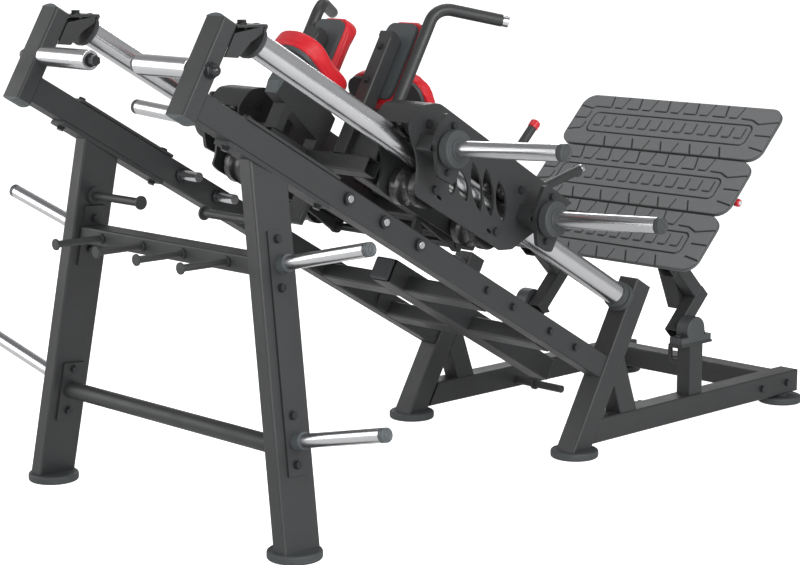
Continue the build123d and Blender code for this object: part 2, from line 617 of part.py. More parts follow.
def make_backrest():
    place = INCLINE * Pos(BACK_TOP[0], 0, BACK_TOP[1]) * Rot(0, BACK_ANGLE, 0)
    pad = cushion(place * Pos(0, 0, -23), 406, 165, 46, 60)
    board = cushion(place * Pos(8, 0, -35), 390, 155, 12, 50)
    save("backrest_pad", [pad])
    save("pad_boards", [board])
    front = block((-FAR, FAR), (-FAR, FAR), (-35, FAR), place)
    strut = shell_tube((950, 1000), (-25, 25), (DECK_N[1], 640), "z", INCLINE) - front
    corners = [(1000, 226), (1024, 226), (1024, 300), (1100, 396), (1100, 420), (1000, 420)]
    arm = profile(corners, (-4, 4)) - front
    save("backrest_strut", [strut])
    save("backrest_strut", [arm])


def make_seat():
    place = INCLINE * Pos(1030, 0, DECK_N[1])
    save("pad_boards", [cushion(place * Pos(4, 0, 0), 362, 158, 12, 20)])
    save("seat_pad", [cushion(place * Pos(0, 0, 12), 370, 165, 52, 30)])


def make_handles():
    points = [on_rail(800, HANDLE_Y, 234), on_rail(800, HANDLE_Y, 730), on_rail(950, HANDLE_Y + 120, 769.9)]
    handle = bent_rod(points, HANDLE_R, 58, HANDLE_R - 3)
    foot = block((778, 822), (HANDLE_Y - 24, HANDLE_Y + 24), (226, 234), INCLINE)
    end = points[2]
    way = (points[2] - points[1]).normalized()
    tip = round_bar(end, end + way * 20, HANDLE_R - 1, edge=3)
    save("handles", pair(handle))
    save("handles", pair(foot))
    grip_start = on_rail(1352, 313.5, 382)
    grip_end = on_rail(1543, 313.5, 565)
    grip_way = (grip_end - grip_start).normalized()
    save("handles", pair(round_bar(grip_start, grip_end, 14, 11)))
    save("grip_tips", pair(tip, round_bar(grip_end, grip_end + grip_way * 14, 13.5, edge=3)))


def make_lock():
    s0, n0 = LOCK_AXIS
    end = LOCK_Y + 11
    save("lock_shaft", [round_bar(on_rail(s0, -end, n0), on_rail(s0, end, n0), LOCK_SHAFT_R, edge=1.5)])
    hook = [(-176, -2), (-158, -22), (-152, -52), (-172, -56), (-190, -40)]
    hook += [(-196, 0), (-180, 12), (0, 14), (0, -20)]
    y = (LOCK_Y - 7, LOCK_Y + 7)
    arm = profile([(s0 + s, n0 + n) for s, n in hook], y)
    arm += round_bar(on_rail(s0, y[0], n0), on_rail(s0, y[1], n0), 22)
    arm -= round_bar(on_rail(s0, y[0] - 5, n0), on_rail(s0, y[1] + 5, n0), LOCK_SHAFT_R + 0.1)
    save("lock_hooks", pair(arm))
    lean = radians(LOCK_LEAN)
    root = on_rail(s0, LOCK_Y, n0)
    way = rail_way(sin(lean), 0, cos(lean))
    save("release_levers", pair(round_bar(root + way * 22.5, root + way * 460, 14, 11)))
    save("lever_tips", pair(round_bar(root + way * 460, root + way * 486, 16, edge=5)))


# ---------------------------------------------------------------- foot plate
def make_footplate():
    names = ("bottom", "middle", "top")
    for number, name in enumerate(names):
        start = number * (SLAT_LONG + SLAT_GAP)
        outline = RectangleRounded(SLAT_LONG, 2 * SLAT_HALF, SLAT_CORNER)
        slat = SLAT * Pos(start + SLAT_LONG / 2, 0, -SLAT_THICK) * extrude(outline, SLAT_THICK)
        save(f"slat_{name}", [slat])
    back = -SLAT_THICK - CARRIER_DEEP
    depth = (back, -SLAT_THICK)
    whole = 3 * SLAT_LONG + 2 * SLAT_GAP
    carriers = shell_tube((4, whole - 24), ARM_Y, depth, "x", SLAT)
    crossbars = [shell_tube((u, u + 50), (-ARM_Y[0], ARM_Y[0]), depth, "y", SLAT) for u in (90, 560)]
    save("slat_carriers", pair(carriers))
    save("slat_carriers", crossbars)
    behind = (-SLAT_THICK - 4, -SLAT_THICK)
    for gap in (SLAT_LONG + SLAT_GAP / 2, 2 * SLAT_LONG + 1.5 * SLAT_GAP):
        save("slat_carriers", [block((gap - 22, gap + 22), (-ARM_Y[0], ARM_Y[0]), behind, SLAT)])
        save("slat_carriers", pair(block((gap - 22, gap + 22), (ARM_Y[1], SLAT_HALF - SLAT_CORNER), behind, SLAT)))
    make_arms(back)


def make_arms(back):
    """Bent arms from the pivots to the carriers, the strut beside the right arm, and the axle stubs."""
    middle = sum(ARM_Y) / 2
    size = (ARM_Y[1] - ARM_Y[0], ARM_DEEP)
    side = (0, 1, 0)
    pivot = Vector(PIVOT[0], middle, PIVOT[1])
    up, out = Vector(*SLAT_WAY), Vector(*SLAT_OUT)
    elbow = pivot + up * ARM_REACH
    end, past = pivot - up * 29, elbow + up * (ARM_DEEP / 2)
    lower = tube_between(end, past, *size, side)
    front = block((-FAR, FAR), (-FAR, FAR), (back, FAR), SLAT)
    upper = tube_between(elbow + out * (ARM_DEEP / 2), elbow + out * 330, *size, side) - front
    save("footplate_arms", pair(lower, upper))
    strut = tube_between((1935, -250, 586), (2022, -250, 383), 60, 46, side) - front
    save("footplate_arms", [strut])
    hub = round_bar((PIVOT[0], ARM_Y[1], PIVOT[1]), (PIVOT[0], ARM_Y[1] + 4, PIVOT[1]), 27)
    axle = hub + round_bar((PIVOT[0], ARM_Y[1] + 2, PIVOT[1]), (PIVOT[0], 366, PIVOT[1]), PIVOT_R)
    save("footplate_arms", pair(axle))


PIN_U = 310.0  # distance of the adjuster pin from the foot plate's lower edge
PIN_W = -SLAT_THICK - 17.0
PIN_R = 7.0
KNOB_Y = (399.5, 426.5)


def make_pull_pin():
    """Spring plunger on the right-hand carrier, with its guide."""
    side = ARM_Y[1]
    guide = block((PIN_U - 16, PIN_U + 16), (-side - 44, -side), (PIN_W - 12, PIN_W + 12), SLAT)
    guide -= round_bar(on_slat(PIN_U, -side - 50, PIN_W), on_slat(PIN_U, -side + 5, PIN_W), PIN_R + AXLE_FIT)
    save("slat_carriers", [guide])
    start, middle, end = (on_slat(PIN_U, y, PIN_W) for y in (-side - 1, -KNOB_Y[0], -KNOB_Y[1]))
    save("pull_pin", [round_bar(start, middle, PIN_R)])
    save("pull_pin", [round_bar(middle, end, 14, edge=5)])


make_fasteners()
make_rails()
make_heads()
make_rods()
make_front()
make_pillow_blocks()
make_uprights()
make_band_pegs()
make_storage_horns()
make_middle()
make_feet_and_plugs()
make_side_plates()
make_rollers()
make_weight_horns()
make_deck()
make_shoulders()
make_headrest()
make_backrest()
make_seat()
make_handles()
make_lock()
make_footplate()
make_pull_pin()
save("frame_fasteners", FASTENERS["frame"])
save("sled_fasteners", FASTENERS["sled"])

os.makedirs("parts", exist_ok=True)
for part_name, part_solids in PARTS.items():
    export_step(Pos(-CENTRE_X, 0, 0) * Compound(part_solids), f"parts/{part_name}.step")
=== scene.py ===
"""Looks of the plate-loaded leg press machine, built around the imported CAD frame.

Lengths are in metres in the row's frame: +X towards the foot plate, +Y to the user's left, +Z up.
"""
import json
import math

import bpy
import numpy as np
from mathutils import Matrix, Vector


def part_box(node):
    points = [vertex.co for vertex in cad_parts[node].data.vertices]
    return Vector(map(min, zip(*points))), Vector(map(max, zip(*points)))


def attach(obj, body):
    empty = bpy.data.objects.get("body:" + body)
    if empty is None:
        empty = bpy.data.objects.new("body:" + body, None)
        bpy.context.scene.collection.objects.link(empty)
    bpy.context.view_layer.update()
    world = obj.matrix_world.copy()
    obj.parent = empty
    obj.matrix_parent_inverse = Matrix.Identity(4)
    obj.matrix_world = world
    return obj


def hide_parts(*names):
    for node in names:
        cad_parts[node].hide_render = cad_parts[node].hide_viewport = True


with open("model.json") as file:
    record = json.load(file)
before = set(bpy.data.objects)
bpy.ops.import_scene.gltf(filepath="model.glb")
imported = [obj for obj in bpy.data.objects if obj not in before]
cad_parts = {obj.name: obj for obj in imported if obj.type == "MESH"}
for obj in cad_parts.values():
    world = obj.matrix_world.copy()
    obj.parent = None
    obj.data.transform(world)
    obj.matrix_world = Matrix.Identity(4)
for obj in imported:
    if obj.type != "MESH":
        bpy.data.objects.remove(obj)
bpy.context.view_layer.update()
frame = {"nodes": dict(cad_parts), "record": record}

SLOPE = math.radians(30)
DOWN_RAIL = Vector((math.cos(SLOPE), 0, -math.sin(SLOPE)))
OFF_RAIL = Vector((math.sin(SLOPE), 0, math.cos(SLOPE)))
RAIL_START = Vector((-1.35335, 0, 1.1751))


# ---------------------------------------------------------------- camera, lights and floor
def make_camera():
    data = bpy.data.cameras.new("camera")
    data.lens = 95.48
    data.sensor_width = 36
    data.clip_end = 600
    camera = bpy.data.objects.new("camera", data)
    camera.location = (-4.6698, -4.6069, 1.6865)
    camera.rotation_euler = (math.radians(80.01), 0, math.radians(-44.12))
    bpy.context.collection.objects.link(camera)
    bpy.context.scene.camera = camera


def area_light(name, place, target, size, power, tint=(1, 1, 1)):
    data = bpy.data.lights.new(name, "AREA")
    data.shape = "RECTANGLE"
    data.size, data.size_y = size
    data.energy = power
    data.color = tint
    lamp = bpy.data.objects.new(name, data)
    lamp.location = place
    aim = Vector(target) - Vector(place)
    lamp.rotation_euler = aim.to_track_quat("-Z", "Y").to_euler()
    bpy.context.collection.objects.link(lamp)


def floor_material():
    """White sweep: shadowless to the camera, softer to everything it lights."""
    material, nodes, links, bsdf = new_material("studio_floor")
    cloud = noise(nodes, links, 4, 3)
    tint = ramp_between(nodes, links, cloud.outputs["Fac"], (0.62, 0.62, 0.62), (0.66, 0.66, 0.66))
    links.new(tint.outputs["Color"], bsdf.inputs["Base Color"])
    bsdf.inputs["Roughness"].default_value = 0.8
    bsdf.inputs["Emission Color"].default_value = (1, 1, 1, 1)
    path = nodes.new("ShaderNodeLightPath")
    glow = nodes.new("ShaderNodeMath")
    glow.operation = "MULTIPLY_ADD"
    glow.inputs[1].default_value = 0.8  # added for the camera
    glow.inputs[2].default_value = 0.2  # for everything else
    links.new(path.outputs["Is Camera Ray"], glow.inputs[0])
    links.new(glow.outputs[0], bsdf.inputs["Emission Strength"])
    return material


def make_floor():
    bpy.ops.mesh.primitive_grid_add(x_subdivisions=16, y_subdivisions=16, size=400)
    floor = bpy.context.object
    floor.name = "studio_floor"
    floor.data.materials.append(floor_material())


def make_lights():
    middle = (0.1, 0, 0.7)
    area_light("front", (-4.2, -4.0, 2.1), middle, (4.6, 2.6), 120)
    area_light("key", (-0.6, -5.2, 3.0), middle, (3.4, 2.2), 190)
    area_light("left", (-4.4, 4.0, 2.2), middle, (4.4, 3.4), 120)
    area_light("top", (0.3, 0.4, 5.4), (0.1, 0, 0.5), (3.6, 2.6), 60)
    area_light("rim", (3.6, 3.4, 3.2), (0.2, 0, 0.8), (2.2, 1.6), 50)


def make_world():
    """Plain white to the camera; to the object, a grey sky that is palest a little above the horizon."""
    world = bpy.data.worlds.new("studio")
    bpy.context.scene.world = world
    world.use_nodes = True
    nodes, links = world.node_tree.nodes, world.node_tree.links
    nodes.clear()
    out = nodes.new("ShaderNodeOutputWorld")
    mix = nodes.new("ShaderNodeMixShader")
    seen = nodes.new("ShaderNodeBackground")
    seen.inputs["Color"].default_value = (1, 1, 1, 1)
    seen.inputs["Strength"].default_value = 1.0
    light = nodes.new("ShaderNodeBackground")
    light.inputs["Strength"].default_value = 1.0
    sky = nodes.new("ShaderNodeValToRGB")
    horizon, zenith = sky.color_ramp.elements
    horizon.position, horizon.color = 0.5, (0.45, 0.455, 0.47, 1)
    zenith.position, zenith.color = 0.95, (0.16, 0.16, 0.17, 1)
    band = sky.color_ramp.elements.new(0.68)
    band.color = (0.5, 0.5, 0.5, 1)
    place = nodes.new("ShaderNodeTexCoord")
    split = nodes.new("ShaderNodeSeparateXYZ")
    height = nodes.new("ShaderNodeMath")
    height.operation = "MULTIPLY_ADD"
    height.inputs[1].default_value = 0.5
    height.inputs[2].default_value = 0.5
    path = nodes.new("ShaderNodeLightPath")
    links.new(place.outputs["Generated"], split.inputs[0])
    links.new(split.outputs["Z"], height.inputs[0])
    links.new(height.outputs[0], sky.inputs["Fac"])
    links.new(sky.outputs["Color"], light.inputs["Color"])
    links.new(path.outputs["Is Camera Ray"], mix.inputs["Fac"])
    links.new(light.outputs[0], mix.inputs[1])
    links.new(seen.outputs[0], mix.inputs[2])
    links.new(mix.outputs[0], out.inputs["Surface"])
    bpy.context.scene.view_settings.view_transform = "Standard"


# ---------------------------------------------------------------- materials
def new_material(name):
    material = bpy.data.materials.new(name)
    material.use_nodes = True
    nodes = material.node_tree.nodes
    return material, nodes, material.node_tree.links, nodes["Principled BSDF"]


def noise(nodes, links, scale, detail=4.0, kind="ShaderNodeTexNoise", stretch=(1, 1, 1)):
    """A procedural texture in object coordinates, with its scale in cells per metre."""
    place = nodes.new("ShaderNodeTexCoord")
    shape = nodes.new("ShaderNodeMapping")
    shape.inputs["Scale"].default_value = stretch
    texture = nodes.new(kind)
    texture.inputs["Scale"].default_value = scale
    if "Detail" in texture.inputs:
        texture.inputs["Detail"].default_value = detail
    links.new(place.outputs["Object"], shape.inputs["Vector"])
    links.new(shape.outputs["Vector"], texture.inputs["Vector"])
    return texture


def ramp_between(nodes, links, source, low, high, start=0.3, end=0.7):
    """Colour ramp from low to high driven by a texture's value."""
    ramp = nodes.new("ShaderNodeValToRGB")
    ramp.color_ramp.elements[0].position = start
    ramp.color_ramp.elements[1].position = end
    ramp.color_ramp.elements[0].color = (*low, 1)
    ramp.color_ramp.elements[1].color = (*high, 1)
    links.new(source, ramp.inputs["Fac"])
    return ramp


def range_of(nodes, links, source, low, high):
    """Maps a texture value onto a range of numbers."""
    span = nodes.new("ShaderNodeMapRange")
    span.inputs["From Min"].default_value = 0.3
    span.inputs["From Max"].default_value = 0.7
    span.inputs["To Min"].default_value = low
    span.inputs["To Max"].default_value = high
    links.new(source, span.inputs["Value"])
    return span.outputs["Result"]


def add_bump(nodes, links, bsdf, heights, strengths, distance=0.001):
    """Chains bump nodes, one for each height texture."""
    normal = None
    for height, strength in zip(heights, strengths):
        bump = nodes.new("ShaderNodeBump")
        bump.inputs["Strength"].default_value = strength
        bump.inputs["Distance"].default_value = distance
        links.new(height, bump.inputs["Height"])
        if normal:
            links.new(normal, bump.inputs["Normal"])
        normal = bump.outputs["Normal"]
    links.new(normal, bsdf.inputs["Normal"])


def paint_groove_shade(nodes, links, colour, share):
    """Painted shade: darkens a colour where the mesh's "groove" attribute is 1, by the given share, in place
    of the shade that falls into recesses.
    """
    depth = nodes.new("ShaderNodeAttribute")
    depth.attribute_name = "groove"
    keep = nodes.new("ShaderNodeMath")
    keep.operation = "MULTIPLY_ADD"
    keep.inputs[1].default_value = -share
    keep.inputs[2].default_value = 1.0
    scaled = nodes.new("ShaderNodeVectorMath")
    scaled.operation = "SCALE"
    links.new(depth.outputs["Fac"], keep.inputs[0])
    links.new(colour, scaled.inputs[0])
    links.new(keep.outputs[0], scaled.inputs["Scale"])
    return scaled.outputs["Vector"]


def paint(name, colour, roughness, grain=0.15, bump=0.25, scale=700.0, metallic=0.0, coat=0.0, groove=0.0):
    """Painted, moulded or rubber surface: speckled colour, uneven gloss and a fine raised texture.

    Scale is in specks per metre; groove is how strongly painted shade darkens the colour in the tread
    grooves.
    """
    material, nodes, links, bsdf = new_material(name)
    speck = noise(nodes, links, scale, 3)
    cloud = noise(nodes, links, 9, 5)
    low = [c * (1 - grain) for c in colour]
    high = [c * (1 + grain) for c in colour]
    tint = ramp_between(nodes, links, speck.outputs["Fac"], low, high)
    colour_out = tint.outputs["Color"]
    # painted shade: the colour darkens where the mesh marks its grooves
    if groove:
        colour_out = paint_groove_shade(nodes, links, colour_out, groove)
    links.new(colour_out, bsdf.inputs["Base Color"])
    uneven = range_of(nodes, links, cloud.outputs["Fac"], roughness - 0.06, roughness + 0.07)
    links.new(uneven, bsdf.inputs["Roughness"])
    bsdf.inputs["Metallic"].default_value = metallic
    if coat:
        bsdf.inputs["Coat Weight"].default_value = coat
        bsdf.inputs["Coat Roughness"].default_value = 0.25
    if bump:
        add_bump(nodes, links, bsdf, [speck.outputs["Fac"], cloud.outputs["Fac"]], [bump, 0.06], 0.0006)
    return material


def chrome_material():
    """Satin-polished chrome with faint fingerprints."""
    material, nodes, links, bsdf = new_material("polished_chrome")
    smear = noise(nodes, links, 14, 6)
    tint = ramp_between(nodes, links, smear.outputs["Fac"], (0.60, 0.605, 0.615), (0.63, 0.63, 0.64))
    links.new(tint.outputs["Color"], bsdf.inputs["Base Color"])
    links.new(range_of(nodes, links, smear.outputs["Fac"], 0.22, 0.24), bsdf.inputs["Roughness"])
    bsdf.inputs["Metallic"].default_value = 1.0
    return material


def leather_material():
    """Red synthetic leather: cell grain, soft sheen, slightly uneven dye."""
    material, nodes, links, bsdf = new_material("red_leather")
    cells = noise(nodes, links, 520, kind="ShaderNodeTexVoronoi")
    cells.feature = "DISTANCE_TO_EDGE"
    cloud = noise(nodes, links, 12, 5)
    fine = noise(nodes, links, 1500, 2)
    tint = ramp_between(nodes, links, cloud.outputs["Fac"], (0.54, 0.007, 0.014), (0.62, 0.010, 0.020))
    links.new(tint.outputs["Color"], bsdf.inputs["Base Color"])
    links.new(range_of(nodes, links, cloud.outputs["Fac"], 0.40, 0.52), bsdf.inputs["Roughness"])
    bsdf.inputs["Sheen Weight"].default_value = 0.08
    bsdf.inputs["Specular IOR Level"].default_value = 0.4
    add_bump(nodes, links, bsdf, [cells.outputs["Distance"], fine.outputs["Fac"]], [0.35, 0.1], 0.0005)
    return material


# Each paint: name, colour, roughness, speckle, bump strength, specks per metre.
POWDER = (0.026, 0.027, 0.028)
MATERIALS = {
    "powder_coat": paint("powder_coat", POWDER, 0.47, 0.35, 0.45, 900),
    "sled_paint": paint("sled_paint", [0.92 * c for c in POWDER], 0.45, 0.35, 0.45, 900),
    "chrome": chrome_material(),
    "fasteners": paint("black_oxide", (0.028, 0.029, 0.031), 0.3, 0.3, 0.15, 500, metallic=0.3),
    "rubber": paint("moulded_rubber", (0.045, 0.05, 0.052), 0.62, 0.2, 0.3, 420),
    "plastic": paint("moulded_plastic", (0.075, 0.088, 0.092), 0.5, 0.12, 0.2, 620),
    "upholstery": leather_material(),
    "boards": paint("backing_board", (0.05, 0.057, 0.06), 0.55, 0.18, 0.3, 520),
    "rollers": paint("cast_urethane", (0.02, 0.02, 0.021), 0.25, 0.2, 0.1, 200, coat=0.3),
    # slats: groove=0.9 is painted shade, darkening the tread grooves and the rolled edges by up to 90 per
    # cent
    "slats": paint("slat_plastic", (0.125, 0.130, 0.132), 0.56, 0.22, 0.35, 560, groove=0.9),
    "red_plastic": paint("red_plastic", (0.55, 0.008, 0.018), 0.3, 0.08, 0.08, 300, coat=0.4),
    "pale_plastic": paint("pale_plastic", (0.6, 0.6, 0.6), 0.4, 0.05, 0.05, 300),
    "cast": paint("cast_housing", (0.05, 0.055, 0.058), 0.5, 0.25, 0.6, 260),
}


def dress_frame():
    """Gives every CAD node the material of its slot."""
    slots = {part["node"]: part["material_slot"] for part in frame["record"]["subparts"]}
    for node, thing in frame["nodes"].items():
        material = MATERIALS[slots[node]]
        thing.data.materials.clear()
        thing.data.materials.append(material)


# ---------------------------------------------------------------- mesh helpers
def piece_from(name, points, faces, material, body, smooth=True):
    """A mesh object in the row frame that rides on a body and has its finish from a slot of the record."""
    mesh = bpy.data.meshes.new(name)
    mesh.from_pydata([tuple(p) for p in points], [], faces)
    mesh.update()
    thing = bpy.data.objects.new(name, mesh)
    bpy.context.collection.objects.link(thing)
    mesh.materials.append(MATERIALS[material])
    for face in mesh.polygons:
        face.use_smooth = smooth
    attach(thing, body)
    return thing


def grid_sheets(columns, rows, front, back):
    """Faces of a closed slab whose front and back are grids of the same size, given as index functions."""
    faces = []
    for i in range(columns - 1):
        for j in range(rows - 1):
            faces.append((front(i, j), front(i + 1, j), front(i + 1, j + 1), front(i, j + 1)))
            faces.append((back(i, j), back(i, j + 1), back(i + 1, j + 1), back(i + 1, j)))
    for i in range(columns - 1):
        faces.append((front(i, 0), back(i, 0), back(i + 1, 0), front(i + 1, 0)))
        faces.append((front(i, rows - 1), front(i + 1, rows - 1), back(i + 1, rows - 1), back(i, rows - 1)))
    last = columns - 1
    for j in range(rows - 1):
        faces.append((front(0, j), front(0, j + 1), back(0, j + 1), back(0, j)))
        faces.append((front(last, j), back(last, j), back(last, j + 1), front(last, j + 1)))
    return faces


# ---------------------------------------------------------------- foot plate slats
SLAT_LONG, SLAT_WIDE, SLAT_THICK = 0.224, 0.868, 0.015
GROOVE_HALF, GROOVE_DEEP = 0.0034, 0.0045
SLAT_CORNER = 0.050
TILT = math.radians(45)
UP_SLAT = Vector((math.cos(TILT), 0, math.sin(TILT)))
OFF_SLAT = Vector((-math.sin(TILT), 0, math.cos(TILT)))
SLAT_GRID = (121, 469)  # points up and across a slat
SLAT_EDGE, SLAT_EDGE_DROP = 0.004, 0.0028  # width of the softened edge, and how far it drops

# Tread pattern: u climbs the slat and y crosses it, both from its middle.
RING_U, RING_Y, RING_CORNER = 0.043, 0.347, 0.022  # half sizes and corner radius of the ring
RING_MIDDLE = -0.011  # u of the ring's middle
MARKS, MARK_START, MARK_PITCH = 13, 0.295, 0.0515  # hooked marks inside the ring
PAIRS, PAIR_START, PAIR_PITCH = 5, 0.2925, 0.126  # pairs of lines above and below the ring
END_LINES = (  # lines that run from the ring to the slat's ends, as (u, y) points
    ((0.058, 0.362), (0.048, 0.372), (0.058, 0.428)),
    ((0.034, 0.370), (0.010, 0.372), (0.004, 0.378), (0.003, 0.428)),
    ((-0.014, 0.368), (-0.036, 0.370), (-0.043, 0.376), (-0.052, 0.428)),
    ((0.058, -0.282), (0.056, -0.326), (0.040, -0.360), (0.055, -0.432)),
    ((-0.007, -0.372), (-0.007, -0.430)),
    ((-0.059, -0.376), (-0.070, -0.430)),
)


def ring_line(half_u, half_y, corner, middle, steps=6):
    """Runs round a rounded rectangle."""
    points = []
    for side_u, side_y, start in ((1, 1, 0), (-1, 1, 90), (-1, -1, 180), (1, -1, 270)):
        for k in range(steps + 1):
            angle = math.radians(start + 90 * k / steps)
            u = middle + side_u * (half_u - corner) + corner * math.cos(angle)
            points.append((u, side_y * (half_y - corner) + corner * math.sin(angle)))
    return list(zip(points, points[1:] + points[:1]))


def hooked_line(top, bottom, foot, bend=0.006, steps=4):
    """Runs of a J-shaped mark: a line that bends at its bottom into a foot along y."""
    u, y = bottom
    points = [top, (u + bend, y)]
    for k in range(1, steps + 1):
        angle = math.radians(90 * k / steps)
        points.append((u + bend * (1 - math.sin(angle)), y + bend * (1 - math.cos(angle))))
    points.append((u, y + foot))
    return list(zip(points, points[1:]))


def tread_grooves():
    """Runs of the tread pattern as ((u, y), (u, y)) pairs."""
    runs = ring_line(RING_U, RING_Y, RING_CORNER, RING_MIDDLE)
    for k in range(MARKS):
        y = MARK_START - MARK_PITCH * k
        runs += hooked_line((0.016, y), (-0.025, y), 0.030)
    for k in range(PAIRS):
        y = PAIR_START - PAIR_PITCH * k
        runs += hooked_line((0.108, y + 0.011), (0.058, y), 0.052 if k else 0.070)
        runs += hooked_line((0.108, y - 0.061), (0.058, y - 0.050), 0.032)
        runs.append(((-0.072, y + 0.001), (-0.110, y + 0.010)))
        runs.append(((-0.072, y - 0.050), (-0.110, y - 0.069)))
    for points in END_LINES:
        runs += list(zip(points, points[1:]))
    return runs


def groove_depths(u, y, runs):
    """Depth of the tread at grid points, from the distance to the nearest groove."""
    nearest = np.full(u.shape, 1.0)
    for (u0, y0), (u1, y1) in runs:
        du, dy = u1 - u0, y1 - y0
        t = np.clip(((u - u0) * du + (y - y0) * dy) / (du * du + dy * dy), 0, 1)
        nearest = np.minimum(nearest, np.hypot(u - u0 - t * du, y - y0 - t * dy))
    wall = np.clip((nearest - 0.45 * GROOVE_HALF) / (0.75 * GROOVE_HALF), 0, 1)
    return GROOVE_DEEP * (1 - wall * wall * (3 - 2 * wall))


def slat_mesh(name, centre):
    """Moulded slat: rounded outline, tread grooves cut in its front, softened edge."""
    rows, columns = SLAT_GRID
    up, across = np.linspace(-0.5, 0.5, rows) * SLAT_LONG, np.linspace(-0.5, 0.5, columns) * SLAT_WIDE
    u, y = np.meshgrid(up, across)
    inner_u, inner_y = SLAT_LONG / 2 - SLAT_CORNER, SLAT_WIDE / 2 - SLAT_CORNER
    over_u, over_y = np.abs(u) - inner_u, np.abs(y) - inner_y
    corner = (over_u > 0) & (over_y > 0)
    square = np.maximum(over_u, over_y)
    radial = np.hypot(over_u, over_y)
    pull = np.where(corner, square / np.maximum(radial, 1e-9), 1.0)
    u = np.where(corner, np.sign(u) * (inner_u + over_u * pull), u)
    y = np.where(corner, np.sign(y) * (inner_y + over_y * pull), y)
    depth = groove_depths(u, y, tread_grooves())
    over_u = np.maximum(np.abs(u) - inner_u, 0)
    over_y = np.maximum(np.abs(y) - inner_y, 0)
    corner = (over_u > 0) & (over_y > 0)
    edge = SLAT_CORNER - np.where(corner, np.hypot(over_u, over_y), np.maximum(over_u, over_y))
    roll = np.clip(1 - edge / SLAT_EDGE, 0, 1)
    depth = np.maximum(depth, SLAT_EDGE_DROP * roll * roll)
    points = []
    for level in (-depth, np.full(u.shape, -SLAT_THICK)):
        for i in range(columns):
            for j in range(rows):
                place = centre + UP_SLAT * u[i, j] + Vector((0, y[i, j], 0))
                points.append(place + OFF_SLAT * float(level[i, j]))
    size = rows * columns
    faces = grid_sheets(columns, rows, lambda i, j: i * rows + j, lambda i, j: size + i * rows + j)
    slat = piece_from(name, points, faces, "slats", "foot_plate", smooth=False)
    # The "groove" attribute is a painted-shade mask: 1 in the grooves, up to about 0.6 on the rolled edge.
    shade = slat.data.attributes.new("groove", "FLOAT", "POINT")
    share = np.concatenate([np.clip(depth / GROOVE_DEEP, 0, 1).ravel(), np.zeros(size)])
    shade.data.foreach_set("value", share.astype(np.float32))
    return slat


def make_slats():
    for name in ("bottom", "middle", "top"):
        low, high = (Vector(c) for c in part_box(f"slat_{name}"))
        centre = (low + high) / 2 + OFF_SLAT * (SLAT_THICK / 2)
        slat = slat_mesh(f"tread_slat_{name}", centre)
        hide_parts(f"slat_{name}")


# ---------------------------------------------------------------- cushions
def rounded_outline(long, wide, corners, steps=10):
    """Points round a rectangle whose corner radii are given from (-,-) anticlockwise."""
    centres = ((-1, -1, 180), (1, -1, 270), (1, 1, 0), (-1, 1, 90))
    ring = []
    for (sx, sy, start), radius in zip(centres, corners):
        cx, cy = sx * (long / 2 - radius), sy * (wide / 2 - radius)
        for k in range(steps + 1):
            angle = math.radians(start + 90 * k / steps)
            ring.append((cx + radius * math.cos(angle), cy + radius * math.sin(angle)))
    return ring


def foam_block(outline, thick, inset=0.010, layers=7):
    """Closed cushion blank: flat back at z = 0, rounded front at z = thick, as points and faces."""
    centre = (sum(x for x, _ in outline) / len(outline), sum(y for _, y in outline) / len(outline))
    points, faces = [], []
    rings = [(0.0, 0.004), (0.12 * thick, 0.0)]
    for k in range(layers):
        angle = math.radians(90 * k / (layers - 1))
        rings.append((thick - inset + inset * math.sin(angle), inset * (1 - math.cos(angle))))
    count = len(outline)
    for z, shrink in rings:
        for x, y in outline:
            away = Vector((x - centre[0], y - centre[1]))
            away *= max(0.0, 1 - shrink / max(away.length, 1e-6))
            points.append(Vector((centre[0] + away.x, centre[1] + away.y, z)))
    for level in range(len(rings) - 1):
        for k in range(count):
            a, b = level * count + k, level * count + (k + 1) % count
            faces.append((a, b, b + count, a + count))
    faces.append(tuple(reversed(range(count))))
    faces.append(tuple((len(rings) - 1) * count + k for k in range(count)))
    return points, faces


def coordinates(mesh):
    """A mesh's vertex positions as an array of rows."""
    flat = np.empty(len(mesh.vertices) * 3)
    mesh.vertices.foreach_get("co", flat)
    return flat.reshape(-1, 3)


def inflate(thing, start, cap, pressure=4.0, frames=14):
    """Runs a cloth with pressure inside it and keeps the result, with no point moved beyond cap."""
    cloth = thing.modifiers.new("cloth", "CLOTH")
    settings = cloth.settings
    settings.quality = 5
    settings.mass = 0.3
    settings.tension_stiffness = 25
    settings.compression_stiffness = 25
    settings.shear_stiffness = 12
    settings.bending_stiffness = 0.8
    settings.vertex_group_mass = "back"
    settings.use_pressure = True
    settings.uniform_pressure_force = pressure
    settings.effector_weights.gravity = 0
    cloth.collision_settings.use_collision = False
    cloth.collision_settings.use_self_collision = False
    scene = bpy.context.scene
    for number in range(1, frames + 1):
        scene.frame_set(number)
    ready = thing.evaluated_get(bpy.context.evaluated_depsgraph_get())
    step = coordinates(ready.data) - start
    thing.modifiers.remove(cloth)
    length = np.linalg.norm(step, axis=1, keepdims=True)
    step *= np.minimum(1.0, cap / np.maximum(length, 1e-9))
    thing.data.vertices.foreach_set("co", (start + step).ravel())
    scene.frame_set(1)


def puff(thing, cap, keep_back=0.008, voxel=0.006):
    """Remeshes a cushion blank and inflates it; points within keep_back of its back stay put."""
    remesh = thing.modifiers.new("remesh", "REMESH")
    remesh.mode = "VOXEL"
    remesh.voxel_size = voxel
    bpy.context.view_layer.objects.active = thing
    for other in bpy.context.selected_objects:
        other.select_set(False)
    thing.select_set(True)
    bpy.ops.object.modifier_apply(modifier=remesh.name)
    start = coordinates(thing.data)
    pinned = thing.vertex_groups.new(name="back")
    pinned.add([k for k, co in enumerate(start) if co[2] < keep_back], 1.0, "REPLACE")
    inflate(thing, start, cap)
    thing.vertex_groups.clear()
    thing.data.update()


